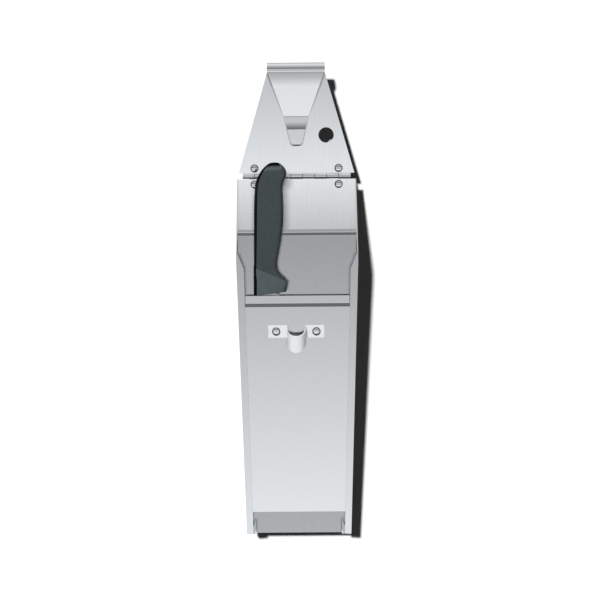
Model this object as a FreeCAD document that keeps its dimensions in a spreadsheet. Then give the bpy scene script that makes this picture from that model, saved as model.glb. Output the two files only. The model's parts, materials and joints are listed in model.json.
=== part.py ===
"""Butcher's belt scabbard: hinged belt plate, folded body, lift-out pocket insert and a boning knife."""

import FreeCAD, Part
import math
import os
import Sketcher

os.makedirs("parts", exist_ok=True)

# Frame: X to the wearer's right-hand side of the front view, Y towards the wearer, Z up.
# The origin is the seat of the belt: the middle of the inside of the fold over the belt.
# Lengths are in millimetres and angles in degrees.
SIZES = {
    # belt plate and its folded tongue
    "plate_gauge": 1.2,
    "belt_gap": 16.0,
    "fold_bend": 6.9,
    "plate_drop": 108.0,
    "plate_top_half": 28.8,
    "plate_foot_half": 57.8,
    "tongue_arch_drop": 17.0,
    "tongue_arch_depth": 9.9,
    "tongue_arch_bend": 110.0,
    "crease_drop": 52.0,
    "crease_half": 12.3,
    "crease_depth": 1.4,
    "crease_bend": 2.0,
    "flare_drop": 61.5,
    "flare_depth": 6.4,
    "flare_bend": 16.0,
    "tip_drop": 80.3,
    "tip_half": 5.7,
    "tip_depth": 6.6,
    "tip_corner": 1.8,
    "hang_hole_radius": 7.7,
    "hang_hole_side": 29.8,
    "hang_hole_drop": 70.1,
    # hinge
    "hinge_drop": 111.3,
    "hinge_half": 54.0,
    "barrel_radius": 2.3,
    "hinge_pin_radius": 1.1,
    "hinge_pin_play": 0.05,
    "leaf_gauge": 1.0,
    "leaf_reach": 14.0,
    "knuckle_gap": 0.3,
    "rivet_side": 42.0,
    "rivet_reach": 8.0,
    # rivets
    "shank_radius": 2.0,
    "head_radius": 4.0,
    "head_rise": 1.8,
    "tail_radius": 3.2,
    "tail_rise": 0.8,
    # scabbard body, folded from one sheet
    "shell_gauge": 1.0,
    "shell_bend": 1.4,
    "shell_top_drop": 114.0,
    "shell_half": 59.5,
    "waist_drop": 199.0,
    "shell_foot_drop": 467.5,
    "shell_foot_half": 51.8,
    "brow_drop": 188.0,
    "brow_depth": 38.0,
    "shell_foot_depth": 10.0,
    "flange_start_drop": 204.5,
    "mouth_half": 52.3,
    "mouth_foot_half": 45.2,
    "flange_fall": 1.93,
    # lift-out insert: divider and front panel
    "insert_gauge": 0.9,
    "insert_play": 0.4,
    "insert_taper": 0.02868,
    "divider_lean": 3.95,
    "divider_drop": 165.5,
    "divider_depth": 23.6,
    "divider_length": 280.0,
    "divider_lip_step": 1.5,
    "divider_lip_rise": 3.0,
    "panel_lean": 5.72,
    "panel_drop": 230.7,
    "panel_depth": 30.4,
    "panel_length": 215.7,
    "panel_lip_step": 1.7,
    "panel_lip_rise": 7.4,
    "panel_lip_foot": 11.0,
    "panel_lip_half": 50.9,
    "return_top_depth": 10.35,
    "return_foot_depth": 4.05,
    # loop for a sharpening steel
    "holder_gauge": 1.0,
    "holder_side": -1.4,
    "holder_tab_half": 27.4,
    "holder_loop_half": 8.65,
    "holder_loop_reach": 14.6,
    "holder_loop_bend": 8.0,
    "holder_tab_bend": 1.2,
    "holder_rivet_half": 19.7,
    "holder_rivet_drop": 35.2,
    "holder_top_drop": 28.8,
    "holder_tab_height": 12.6,
    "holder_top_fall": 10.2,
    "holder_foot_fall": 13.4,
    # knife
    "knife_lean": 6.3,
    "knife_drop": 229.0,
    "knife_depth": 28.1,
    "blade_gauge": 2.1,
    "blade_edge_gauge": 0.3,
    "blade_length": 150.0,
    "spine_side": -40.0,
    "heel_side": -17.8,
    "heel_height": 7.0,
    "belly_side": -25.5,
    "belly_drop": 40.0,
    "point_side": -37.2,
    "point_sweep_drop": 122.0,
    "point_sweep_side": -28.5,
    "tang_side": -34.0,
    "tang_width": 13.0,
    "tang_length": 92.0,
    "grip_base_drop": 0.9,
}

UPPER_KNUCKLES = (0, 2, 4, 6, 8)
LOWER_KNUCKLES = (1, 3, 5, 7)
KNUCKLES = len(UPPER_KNUCKLES) + len(LOWER_KNUCKLES)

# Handle sections from the guard to the butt: height along the knife, left edge, right edge,
# half thickness and corner radius.
GRIP_STATIONS = (
    ("guard_foot", -0.9, -41.2, -17.0, 7.6, 3.2),
    ("guard_nose", 12.5, -41.4, -9.4, 8.0, 6.0),
    ("neck", 31.0, -41.0, -20.0, 8.2, 6.5),
    ("palm_swell", 74.0, -40.8, -11.9, 9.2, 7.5),
    ("waist", 105.0, -40.2, -13.0, 8.6, 7.0),
    ("butt", 117.0, -37.6, -10.2, 8.4, 7.0),
    ("butt_round", 124.5, -32.4, -13.2, 6.0, 5.0),
    ("butt_end", 127.8, -26.6, -18.2, 3.2, 2.8),
)

CUT_OVERRUN = 6.0
FLANGE_OVERLAP = 1.3
LIP_BEND_SHARE = 0.7
PLATE_CUT_PLANE = 0.6
SHORTEST_FOLD = 8.0
STEEPEST_FOLD = 0.2
SAME_PLACE = 0.01

doc = FreeCAD.newDocument("belt_scabbard")
sheet = doc.addObject("Spreadsheet::Sheet", "Sizes")


class Size:
    """A length or angle with the sheet expression that it is bound to."""

    def __init__(self, value, text):
        self.value = value
        self.text = text

    def join(self, other, sign, value):
        other_text = other.text if isinstance(other, Size) else repr(other)
        return Size(value, f"({self.text} {sign} {other_text})")

    def __add__(self, other):
        return self.join(other, "+", self.value + plain(other))

    def __sub__(self, other):
        return self.join(other, "-", self.value - plain(other))

    def __mul__(self, other):
        return self.join(other, "*", self.value * plain(other))

    def __truediv__(self, other):
        return self.join(other, "/", self.value / plain(other))

    def __neg__(self):
        return Size(-self.value, f"(0 - {self.text})")


def plain(size):
    return size.value if isinstance(size, Size) else float(size)


def text_of(size):
    return size.text if isinstance(size, Size) else repr(float(size))


class Sheet:
    """The sheet's cells by alias, as sizes."""


dim = Sheet()


def fill_sheet():
    cells = dict(SIZES)
    for name, height, left, right, half, corner in GRIP_STATIONS:
        cells[name + "_height"] = height
        cells[name + "_left"] = left
        cells[name + "_right"] = right
        cells[name + "_half"] = half
        cells[name + "_corner"] = corner
    for row, (alias, value) in enumerate(cells.items(), 1):
        sheet.set(f"A{row}", alias.replace("_", " "))
        sheet.set(f"B{row}", str(value))
        sheet.setAlias(f"B{row}", alias)
        setattr(dim, alias, Size(value, f"Sizes.{alias}"))
    doc.recompute()


# ---------------------------------------------------------------- sketch and feature helpers


def bind(thing, **sizes):
    for prop, size in sizes.items():
        thing.setExpression(prop, text_of(size))


def body_of(label):
    body = doc.addObject("PartDesign::Body", label)
    body.Label = label
    return body


def sketch_on(body, role, name, offset=0):
    """A sketch on one of the body's own planes, moved along that plane's normal."""
    sketch = body.newObject("Sketcher::SketchObject", name)
    plane = next(f for f in body.Origin.OriginFeatures if f.Role == role)
    sketch.AttachmentSupport = [(plane, "")]
    sketch.MapMode = "FlatFace"
    sketch.AttachmentOffset = FreeCAD.Placement(FreeCAD.Vector(0, 0, plain(offset)), FreeCAD.Rotation())
    sketch.setExpression("AttachmentOffset.Base.z", text_of(offset))
    return sketch


def fix_point(sketch, geometry, end, u, v):
    """Ties a sketch point to its two sizes."""
    for kind, size in (("DistanceX", u), ("DistanceY", v)):
        index = sketch.addConstraint(Sketcher.Constraint(kind, geometry, end, plain(size)))
        sketch.setExpression(f"Constraints[{index}]", text_of(size))


def trace(sketch, corners, closed=True):
    """Straight runs through corners of (u, v) or (u, v, bend radius), each bend a tangent arc."""
    at = [FreeCAD.Vector(plain(c[0]), plain(c[1]), 0) for c in corners]
    count = len(corners)
    starts = list(at)
    ends = list(at)
    for i, corner in enumerate(corners):
        if len(corner) < 3:
            continue
        back = (at[i - 1] - at[i]).normalize()
        ahead = (at[(i + 1) % count] - at[i]).normalize()
        half = back.getAngle(ahead) / 2
        reach = plain(corner[2]) / math.tan(half)
        ends[i] = at[i] + back * reach
        starts[i] = at[i] + ahead * reach
    runs = range(count if closed else count - 1)
    lines = [
        sketch.addGeometry(Part.LineSegment(starts[i], ends[(i + 1) % count]), False) for i in runs
    ]
    for i, corner in enumerate(corners):
        before = lines[i - 1] if (closed or i > 0) else None
        after = lines[i] if (closed or i < count - 1) else None
        if before is None or after is None:
            line, end = (after, 1) if before is None else (before, 2)
            fix_point(sketch, line, end, corner[0], corner[1])
        elif len(corner) < 3:
            sketch.addConstraint(Sketcher.Constraint("Coincident", before, 2, after, 1))
            fix_point(sketch, after, 1, corner[0], corner[1])
        else:
            round_corner(sketch, before, after, at[i], starts[i], ends[i], corner)


def round_corner(sketch, before, after, tip, start, end, corner):
    """A tangent arc between two runs, with the sharp corner kept as a construction point."""
    radius = plain(corner[2])
    middle = ((start + end) * 0.5 - tip).normalize()
    centre = tip + middle * math.hypot(radius, (start - tip).Length)
    arc = Part.Arc(end, centre - middle * radius, start)
    curve = sketch.addGeometry(arc, False)
    turns_left = (tip - end).cross(start - tip).z > 0
    first, last = (1, 2) if turns_left else (2, 1)
    sketch.addConstraint(Sketcher.Constraint("Tangent", before, 2, curve, first))
    sketch.addConstraint(Sketcher.Constraint("Tangent", curve, last, after, 1))
    index = sketch.addConstraint(Sketcher.Constraint("Radius", curve, radius))
    sketch.setExpression(f"Constraints[{index}]", text_of(corner[2]))
    point = sketch.addGeometry(Part.Point(tip), True)
    fix_point(sketch, point, 1, corner[0], corner[1])
    sketch.addConstraint(Sketcher.Constraint("PointOnObject", point, 1, before))
    sketch.addConstraint(Sketcher.Constraint("PointOnObject", point, 1, after))


def mirrored(corners):
    return [(-c[0], *c[1:]) for c in reversed(corners)]


def disc(sketch, u, v, radius):
    centre = FreeCAD.Vector(plain(u), plain(v), 0)
    circle = sketch.addGeometry(Part.Circle(centre, FreeCAD.Vector(0, 0, 1), plain(radius)), False)
    fix_point(sketch, circle, 3, u, v)
    index = sketch.addConstraint(Sketcher.Constraint("Radius", circle, plain(radius)))
    sketch.setExpression(f"Constraints[{index}]", text_of(radius))


def pad(body, sketch, length, symmetric=False, reverse=False):
    feature = body.newObject("PartDesign::Pad", sketch.Name + "_pad")
    feature.Profile = (sketch, [])
    feature.SideType = "Symmetric" if symmetric else "One side"
    feature.Reversed = reverse
    bind(feature, Length=length)
    doc.recompute()
    return feature


def pocket(body, sketch, symmetric=False, reverse=False):
    """Cuts right through, and checks that the cut met the solid."""
    before = body.Shape.Volume
    feature = body.newObject("PartDesign::Pocket", sketch.Name + "_cut")
    feature.Profile = (sketch, [])
    feature.Type = "ThroughAll"
    feature.SideType = "Symmetric" if symmetric else "One side"
    feature.Reversed = reverse
    doc.recompute()
    if not body.Shape.Volume < before:
        raise RuntimeError(f"{feature.Name} cuts nothing")
    return feature


def pipe(body, profile, spine):
    feature = body.newObject("PartDesign::AdditivePipe", spine.Name + "_pipe")
    feature.Profile = (profile, [])
    feature.Spine = (spine, [])
    doc.recompute()
    return feature


def lean(thing, angle, depth, drop):
    """Stands a part on its pivot and leans its top forward."""
    thing.Placement = FreeCAD.Placement(
        FreeCAD.Vector(0, front_y(depth).value, -plain(drop)),
        FreeCAD.Rotation(FreeCAD.Vector(1, 0, 0), plain(angle)),
    )
    thing.setExpression("Placement.Base.y", text_of(front_y(depth)))
    thing.setExpression("Placement.Base.z", text_of(-drop))
    thing.setExpression("Placement.Rotation.Angle", text_of(angle))


def front_y(depth):
    """Y of a point that stands this far in front of the belt plate's front face."""
    return dim.belt_gap / 2 - depth


def box(name, low, size):
    """A box from its low corner, each number a size."""
    made = doc.addObject("Part::Box", name)
    bind(made, Length=size[0], Width=size[1], Height=size[2])
    place(made, low)
    return made


def place(thing, at):
    for axis, size in zip("xyz", at):
        thing.setExpression(f"Placement.Base.{axis}", text_of(size))


def turned(kind, name, at, axis, angle, **sizes):
    """A round primitive turned from the Z axis and put in place."""
    made = doc.addObject(kind, name)
    bind(made, **sizes)
    made.Placement = FreeCAD.Placement(FreeCAD.Vector(), FreeCAD.Rotation(FreeCAD.Vector(*axis), angle))
    place(made, at)
    return made


def along_x(name, at, radius, length):
    return turned("Part::Cylinder", name, at, (0, 1, 0), 90, Radius=radius, Height=length)


def fuse(name, shapes):
    made = doc.addObject("Part::MultiFuse", name)
    made.Shapes = shapes
    made.Refine = True
    return made


def cut(name, base, tool):
    made = doc.addObject("Part::Cut", name)
    made.Base = base
    made.Tool = tool
    made.Refine = True
    return made


# ---------------------------------------------------------------- belt plate


def build_belt_plate():
    body = body_of("belt_plate")
    middle = dim.belt_gap / 2 + dim.plate_gauge / 2
    top = dim.plate_gauge / 2
    profile = sketch_on(body, "XY_Plane", "plate_section", -dim.plate_drop)
    inner = middle - dim.plate_gauge / 2
    outer = middle + dim.plate_gauge / 2
    half = dim.plate_foot_half
    trace(profile, [(-half, inner), (half, inner), (half, outer), (-half, outer)])
    spine = sketch_on(body, "YZ_Plane", "plate_line")
    trace(
        spine,
        [
            (middle, -dim.plate_drop),
            (middle, top, dim.fold_bend),
            (-middle, top, dim.fold_bend),
            (front_y(dim.tongue_arch_depth), -dim.tongue_arch_drop, dim.tongue_arch_bend),
            (front_y(dim.crease_depth), -dim.crease_drop, dim.crease_bend),
            (front_y(dim.flare_depth), -dim.flare_drop, dim.flare_bend),
            (front_y(dim.tip_depth), -dim.tip_drop),
        ],
        closed=False,
    )
    pipe(body, profile, spine)
    trim_plate_sides(body)
    holes = plate_cut_sketch(body, "plate_holes")
    disc(holes, dim.hang_hole_side, -dim.hang_hole_drop, dim.hang_hole_radius)
    for side in (-dim.rivet_side, dim.rivet_side):
        disc(holes, side, dim.rivet_reach - dim.hinge_drop, dim.shank_radius)
    pocket(body, holes)
    return body


def plate_cut_sketch(body, name):
    """A sketch in the gap, just in front of the plate, for cuts that spare the other layer."""
    return sketch_on(body, "XZ_Plane", name, -dim.belt_gap / 2 + PLATE_CUT_PLANE)


def trim_plate_sides(body):
    """The plate widens downwards and the tongue narrows to its tip."""
    brow = -dim.fold_bend
    wide = dim.plate_foot_half + CUT_OVERRUN
    above = dim.plate_gauge + CUT_OVERRUN
    plate_side = [
        (dim.plate_top_half, above),
        (dim.plate_top_half, brow),
        (dim.plate_foot_half, -dim.plate_drop),
        (wide, -dim.plate_drop),
        (wide, above),
    ]
    below = -(dim.plate_drop + CUT_OVERRUN)
    tongue_side = [
        (dim.plate_top_half, above),
        (dim.plate_top_half, brow),
        (dim.crease_half, -dim.crease_drop),
        (dim.tip_half, dim.tip_corner - dim.tip_drop),
        (dim.tip_half - dim.tip_corner, -dim.tip_drop),
        (dim.tip_half - dim.tip_corner, below),
        (wide, below),
        (wide, above),
    ]
    for name, side, forward in (("plate_trim", plate_side, False), ("tongue_trim", tongue_side, True)):
        sketch = plate_cut_sketch(body, name)
        trace(sketch, side)
        trace(sketch, mirrored(side))
        doc.recompute()
        pocket(body, sketch, reverse=forward)


# ---------------------------------------------------------------- hinge


def build_leaf(label, knuckles, up, bore_radius):
    """One hinge leaf: a riveted strip, a tab behind each knuckle and the knuckles on the pin's line."""
    pitch = dim.hinge_half * 2 / KNUCKLES
    back = dim.belt_gap / 2 + dim.plate_gauge
    axis_y = back + dim.leaf_gauge - dim.barrel_radius
    strip_start = dim.barrel_radius + dim.knuckle_gap
    strip_height = dim.leaf_reach - strip_start
    if up:
        strip_low = strip_start - dim.hinge_drop
        tab_low = -dim.hinge_drop
    else:
        strip_low = -(dim.hinge_drop + dim.leaf_reach)
        tab_low = -(dim.hinge_drop + strip_start)
    shapes = [
        box(
            label + "_strip",
            (-dim.hinge_half, back, strip_low),
            (dim.hinge_half * 2, dim.leaf_gauge, strip_height),
        )
    ]
    for n in knuckles:
        start = pitch * n - dim.hinge_half + dim.knuckle_gap / 2
        length = pitch - dim.knuckle_gap
        shapes.append(
            box(f"{label}_tab_{n}", (start, back, tab_low), (length, dim.leaf_gauge, strip_start))
        )
        shapes.append(
            along_x(f"{label}_knuckle_{n}", (start, axis_y, -dim.hinge_drop), dim.barrel_radius, length)
        )
    sign = 1 if up else -1
    holes = [
        turned(
            "Part::Cylinder",
            f"{label}_rivet_hole_{n}",
            (side, back + dim.leaf_gauge * 2, dim.rivet_reach * sign - dim.hinge_drop),
            (1, 0, 0),
            90,
            Radius=dim.shank_radius,
            Height=dim.leaf_gauge * 3,
        )
        for n, side in enumerate((-dim.rivet_side, dim.rivet_side))
    ]
    bore = along_x(
        label + "_bore",
        (-(dim.hinge_half + CUT_OVERRUN), axis_y, -dim.hinge_drop),
        bore_radius,
        (dim.hinge_half + CUT_OVERRUN) * 2,
    )
    leaf = cut(label, fuse(label + "_blank", shapes), fuse(label + "_holes", [bore, *holes]))
    leaf.Label = label
    return leaf


def build_hinge_pin():
    axis_y = dim.belt_gap / 2 + dim.plate_gauge + dim.leaf_gauge - dim.barrel_radius
    pin = along_x(
        "hinge_pin", (-dim.hinge_half, axis_y, -dim.hinge_drop), dim.hinge_pin_radius, dim.hinge_half * 2
    )
    pin.Label = "hinge_pin"
    return pin


def build_rivets(label, sides, seat_y, height, grip):
    """Domed rivets through a stack of sheets: head in front, upset tail behind."""
    solids = []
    for n, side in enumerate(sides):
        head = turned(
            "Part::Ellipsoid",
            f"{label}_head_{n}",
            (side, seat_y, height),
            (1, 0, 0),
            90,
            Radius1=dim.head_rise,
            Radius2=dim.head_radius,
            Radius3=dim.head_radius,
            Angle1=0,
        )
        shank = turned(
            "Part::Cylinder",
            f"{label}_shank_{n}",
            (side, seat_y + grip, height),
            (1, 0, 0),
            90,
            Radius=dim.shank_radius,
            Height=grip,
        )
        tail = turned(
            "Part::Cylinder",
            f"{label}_tail_{n}",
            (side, seat_y + grip + dim.tail_rise, height),
            (1, 0, 0),
            90,
            Radius=dim.tail_radius,
            Height=dim.tail_rise,
        )
        solids.append(fuse(f"{label}_{n}", [head, shank, tail]))
    group = doc.addObject("Part::Compound", label)
    group.Links = solids
    group.Label = label
    return group


# ---------------------------------------------------------------- scabbard body


def build_shell():
    body = body_of("scabbard_shell")
    back = dim.belt_gap / 2 + dim.plate_gauge
    wall_front = back - dim.shell_gauge
    outline = sketch_on(body, "XZ_Plane", "shell_outline", -back)
    half = shell_side()
    trace(outline, half + mirrored(half))
    pad(body, outline, dim.brow_depth + CUT_OVERRUN)
    cut_shell_front(body, wall_front)
    inside = sketch_on(body, "XZ_Plane", "shell_inside", -wall_front)
    half = shell_side(inset=dim.shell_gauge, overrun=CUT_OVERRUN)
    trace(inside, half + mirrored(half))
    pocket(body, inside, reverse=True)
    add_flanges(body)
    holes = sketch_on(body, "XZ_Plane", "shell_rivet_holes", -wall_front)
    for side in (-dim.rivet_side, dim.rivet_side):
        disc(holes, side, -(dim.hinge_drop + dim.rivet_reach), dim.shank_radius)
    pocket(body, holes)
    round_shell_bends(body)
    return body


def shell_slope():
    """How fast each side of the body closes in below the waist."""
    return (dim.shell_half - dim.shell_foot_half) / (dim.shell_foot_drop - dim.waist_drop)


def shell_side(inset=0, overrun=0):
    """The right-hand outline of the body from top to foot, moved in by inset."""
    foot_half = dim.shell_foot_half - inset - shell_slope() * overrun
    return [
        (dim.shell_half - inset, -(dim.shell_top_drop - overrun)),
        (dim.shell_half - inset, -dim.waist_drop),
        (foot_half, -(dim.shell_foot_drop + overrun)),
    ]


def cut_shell_front(body, wall_front):
    """The walls rise from the top corners to the brow, then fall away to the foot behind the flanges."""
    behind = dim.shell_gauge / 2
    front = sketch_on(body, "YZ_Plane", "shell_front")
    far = front_y(dim.brow_depth) - CUT_OVERRUN * 2
    over = -(dim.shell_top_drop - CUT_OVERRUN)
    under = -(dim.shell_foot_drop + CUT_OVERRUN)
    trace(
        front,
        [
            (wall_front, over),
            (wall_front, -dim.shell_top_drop),
            (front_y(dim.brow_depth) + behind, -dim.brow_drop),
            (front_y(dim.shell_foot_depth) + behind, -dim.shell_foot_drop),
            (front_y(dim.shell_foot_depth) + behind, under),
            (far, under),
            (far, over),
        ],
    )
    pocket(body, front, symmetric=True)


def add_flanges(body):
    """Narrow flanges turned in from the walls' front edges, with their top corners cut away."""
    ends = [
        (dim.brow_drop, dim.shell_half, dim.brow_depth),
        (dim.shell_foot_drop, dim.shell_foot_half, dim.shell_foot_depth),
    ]
    for name, sign in (("left", -1), ("right", 1)):
        sections = [
            flange_section(body, f"{name}_flange_{n}", sign, drop, half, depth)
            for n, (drop, half, depth) in enumerate(ends)
        ]
        loft = body.newObject("PartDesign::AdditiveLoft", name + "_flange")
        loft.Profile = (sections[0], [])
        loft.Sections = [(sections[1], [""])]
        loft.Ruled = True
        doc.recompute()
    mouth = sketch_on(body, "XZ_Plane", "flange_mouth")
    wall = dim.shell_half - dim.shell_gauge
    half = [
        (wall, -(dim.brow_drop - CUT_OVERRUN)),
        (wall, -(dim.brow_drop + dim.shell_gauge)),
        (dim.mouth_half, -dim.flange_start_drop),
        (dim.mouth_foot_half, -(dim.shell_foot_drop + CUT_OVERRUN)),
    ]
    trace(mouth, half + mirrored(half))
    pocket(body, mouth, reverse=True)
    trim = sketch_on(body, "XZ_Plane", "flange_trim")
    side = shell_side(overrun=CUT_OVERRUN)
    clear = dim.shell_half + CUT_OVERRUN
    outside = [*side, (clear, side[-1][1]), (clear, side[0][1])]
    trace(trim, outside)
    trace(trim, mirrored(outside))
    pocket(body, trim, reverse=True)


def flange_section(body, name, sign, drop, half, depth):
    """A flange's section: it falls back towards its free edge, and starts outside the wall."""
    sketch = sketch_on(body, "XY_Plane", name, -drop)
    width = dim.shell_half - dim.mouth_half
    fall = dim.flange_fall / width
    outer = half + dim.shell_gauge
    inner = half - width * FLANGE_OVERLAP
    front = front_y(depth)
    outer_y = front - fall * dim.shell_gauge
    inner_y = front + dim.flange_fall * FLANGE_OVERLAP
    section = [
        (outer, outer_y),
        (outer, outer_y + dim.shell_gauge),
        (inner, inner_y + dim.shell_gauge),
        (inner, inner_y),
    ]
    trace(sketch, [(corner[0] * sign, corner[1]) for corner in section])
    return sketch


def round_shell_bends(body):
    """Rounds the long outer edges where the sheet is folded."""
    back = (dim.belt_gap / 2 + dim.plate_gauge).value
    names = []
    for n, edge in enumerate(body.Shape.Edges, 1):
        ends = sorted((vertex.Point for vertex in edge.Vertexes), key=lambda point: point.z)
        if len(ends) < 2 or not is_long_fold(*ends):
            continue
        on_side = all(close(abs(p.x), side_at(p.z)) for p in ends)
        on_back = all(close(p.y, back) for p in ends)
        on_front = all(close(p.y, flange_front(p.z)) for p in ends)
        if on_side and (on_back or on_front):
            names.append(f"Edge{n}")
    last = body.Tip
    fillet = body.newObject("PartDesign::Fillet", "shell_bends")
    fillet.Base = (last, names)
    bind(fillet, Radius=dim.shell_bend)
    doc.recompute()
    return fillet


def is_long_fold(low, high):
    """True of a long edge that runs down the body."""
    rise = high.z - low.z
    return rise > SHORTEST_FOLD and abs(high.y - low.y) < STEEPEST_FOLD * rise


def close(a, b):
    return abs(a - b) < SAME_PLACE


def side_at(height):
    """Half width of the body at a height."""
    fall = max(0.0, -height - dim.waist_drop.value)
    return dim.shell_half.value - shell_slope().value * fall


def flange_front(height):
    """Y of the flanges' front faces at a height."""
    share = (-height - dim.brow_drop.value) / (dim.shell_foot_drop - dim.brow_drop).value
    depth = dim.brow_depth + (dim.shell_foot_depth - dim.brow_depth) * share
    return front_y(depth).value


# ---------------------------------------------------------------- lift-out insert


def build_divider():
    """The wall between the rear and the front pocket, with a stepped lip along its top edge."""
    body = body_of("divider_panel")
    half = dim.shell_half - dim.shell_gauge - dim.insert_play
    gauge = dim.insert_gauge
    profile = sketch_on(body, "XY_Plane", "divider_section", -dim.divider_length)
    trace(profile, [(-half, -gauge / 2), (half, -gauge / 2), (half, gauge / 2), (-half, gauge / 2)])
    spine = sketch_on(body, "YZ_Plane", "divider_line")
    lip_foot = -dim.divider_lip_rise * 2
    trace(
        spine,
        [
            (Size(0, "0"), -dim.divider_length),
            (Size(0, "0"), lip_foot, dim.divider_lip_step),
            (-dim.divider_lip_step, -dim.divider_lip_rise, dim.divider_lip_step),
            (-dim.divider_lip_step, Size(0, "0")),
        ],
        closed=False,
    )
    pipe(body, profile, spine)
    waist = dim.waist_drop - dim.divider_drop
    foot_half = half - (dim.divider_length - waist) * dim.insert_taper
    trim_taper(body, "divider_trim", half, waist, foot_half, dim.divider_length)
    lean(body, dim.divider_lean, dim.divider_depth, dim.divider_drop)
    return body


def trim_taper(body, name, half, waist, foot_half, length):
    """Cuts both sides back to the body's taper."""
    trim = sketch_on(body, "XZ_Plane", name)
    side = [
        (half, -waist),
        (foot_half, -length),
        (foot_half, -(length + CUT_OVERRUN)),
        (half + CUT_OVERRUN, -(length + CUT_OVERRUN)),
        (half + CUT_OVERRUN, -waist),
    ]
    trace(trim, side)
    trace(trim, mirrored(side))
    pocket(body, trim, symmetric=True)


def build_front_panel():
    """The front pocket's face: a panel with side returns and a lip stepped forward."""
    body = body_of("front_panel")
    play = dim.shell_gauge + dim.insert_play
    reach = dim.panel_drop - dim.waist_drop
    top_half = dim.shell_half - play - (reach + dim.panel_lip_foot) * dim.insert_taper
    foot_half = dim.shell_half - play - (reach + dim.panel_length) * dim.insert_taper
    section = sketch_on(body, "YZ_Plane", "panel_section")
    trace(
        section,
        [
            (Size(0, "0"), -dim.panel_length),
            (dim.return_foot_depth, -dim.panel_length),
            (dim.return_top_depth, -dim.panel_lip_foot),
            (Size(0, "0"), -dim.panel_lip_foot),
        ],
    )
    pad(body, section, top_half * 2, symmetric=True)
    trim_taper(body, "panel_trim", top_half, dim.panel_lip_foot, foot_half, dim.panel_length)
    inside = sketch_on(body, "XZ_Plane", "panel_inside", -dim.insert_gauge)
    inner_top = top_half - dim.insert_gauge
    inner_foot = foot_half - dim.insert_gauge
    half = [
        (inner_top, -(dim.panel_lip_foot - CUT_OVERRUN)),
        (inner_top, -dim.panel_lip_foot),
        (inner_foot, -dim.panel_length),
        (inner_foot, -(dim.panel_length + CUT_OVERRUN)),
    ]
    trace(inside, half + mirrored(half))
    pocket(body, inside)
    add_panel_lip(body)
    holes = sketch_on(body, "XZ_Plane", "panel_rivet_holes")
    for side in (-dim.holder_rivet_half, dim.holder_rivet_half):
        disc(holes, side + dim.holder_side, -dim.holder_rivet_drop, dim.shank_radius)
    pocket(body, holes)
    lean(body, dim.panel_lean, dim.panel_depth, dim.panel_drop)
    return body


def add_panel_lip(body):
    middle = dim.insert_gauge / 2
    half = dim.panel_lip_half
    bend = dim.panel_lip_step * LIP_BEND_SHARE
    join = -(dim.panel_lip_foot + dim.panel_lip_step)
    profile = sketch_on(body, "XY_Plane", "lip_section", join)
    trace(profile, [(-half, Size(0, "0")), (half, Size(0, "0")), (half, middle * 2), (-half, middle * 2)])
    spine = sketch_on(body, "YZ_Plane", "lip_line")
    trace(
        spine,
        [
            (middle, join),
            (middle, -dim.panel_lip_foot, bend),
            (middle - dim.panel_lip_step, -dim.panel_lip_rise, bend),
            (middle - dim.panel_lip_step, Size(0, "0")),
        ],
        closed=False,
    )
    pipe(body, profile, spine)


def build_holder():
    """A strap bent into a loop, with its rims cut on a slope so that it drops towards the front."""
    body = body_of("steel_holder")
    middle = -dim.holder_gauge / 2
    foot_drop = dim.holder_top_drop + dim.holder_tab_height + dim.holder_foot_fall
    profile = sketch_on(body, "YZ_Plane", "strap_section", dim.holder_side - dim.holder_tab_half)
    trace(
        profile,
        [
            (-dim.holder_gauge, -foot_drop),
            (Size(0, "0"), -foot_drop),
            (Size(0, "0"), -dim.holder_top_drop),
            (-dim.holder_gauge, -dim.holder_top_drop),
        ],
    )
    spine = sketch_on(body, "XY_Plane", "strap_line", 0)
    left = dim.holder_side - dim.holder_loop_half
    right = dim.holder_side + dim.holder_loop_half
    trace(
        spine,
        [
            (dim.holder_side - dim.holder_tab_half, middle),
            (left, middle, dim.holder_tab_bend),
            (left, -dim.holder_loop_reach, dim.holder_loop_bend),
            (right, -dim.holder_loop_reach, dim.holder_loop_bend),
            (right, middle, dim.holder_tab_bend),
            (dim.holder_side + dim.holder_tab_half, middle),
        ],
        closed=False,
    )
    pipe(body, profile, spine)
    rims = sketch_on(body, "YZ_Plane", "strap_rims")
    face = -dim.holder_gauge
    front = -(dim.holder_loop_reach + dim.holder_gauge)
    over = -(dim.holder_top_drop - CUT_OVERRUN)
    tab_foot = dim.holder_top_drop + dim.holder_tab_height
    trace(
        rims,
        [
            (face, -dim.holder_top_drop),
            (front, -(dim.holder_top_drop + dim.holder_top_fall)),
            (front, over),
            (face, over),
        ],
    )
    trace(
        rims,
        [
            (dim.holder_gauge, -tab_foot),
            (face, -tab_foot),
            (front, -foot_drop),
            (front, -(foot_drop + CUT_OVERRUN)),
            (dim.holder_gauge, -(foot_drop + CUT_OVERRUN)),
        ],
    )
    pocket(body, rims, symmetric=True)
    holes = sketch_on(body, "XZ_Plane", "strap_rivet_holes")
    for side in (-dim.holder_rivet_half, dim.holder_rivet_half):
        disc(holes, side + dim.holder_side, -dim.holder_rivet_drop, dim.shank_radius)
    pocket(body, holes, reverse=True)
    lean(body, dim.panel_lean, dim.panel_depth, dim.panel_drop)
    return body


def build_holder_rivets():
    sides = [dim.holder_side - dim.holder_rivet_half, dim.holder_side + dim.holder_rivet_half]
    grip = dim.holder_gauge + dim.insert_gauge
    group = build_rivets("steel_holder_rivets", sides, -dim.holder_gauge, -dim.holder_rivet_drop, grip)
    lean(group, dim.panel_lean, dim.panel_depth, dim.panel_drop)
    return group


# ---------------------------------------------------------------- knife


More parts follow.
